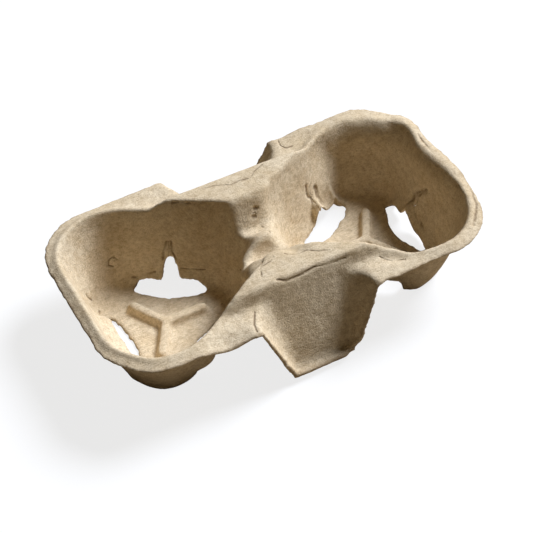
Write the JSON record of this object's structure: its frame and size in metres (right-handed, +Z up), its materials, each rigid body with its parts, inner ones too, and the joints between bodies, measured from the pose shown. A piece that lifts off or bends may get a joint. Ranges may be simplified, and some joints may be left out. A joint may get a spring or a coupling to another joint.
{
  "type": "cup carrier",
  "caption": "Moulded pulp carrier with side-by-side cup cells, a raised grip ridge and saddle between them, finger recesses and slotted cell floors.",
  "frame": {"origin": "on the ground, below the middle of the carrier", "axes": "+X along the carrier from one cell to the other, +Y towards one finger recess, +Z up"},
  "size_m": [0.2174, 0.1292, 0.0502],
  "materials": {
    "pulp": "rough, fibrous, matt moulded paper pulp"
  },
  "bodies": {
    "root": {"carrier": "pulp"}
  },
  "joints": []
}
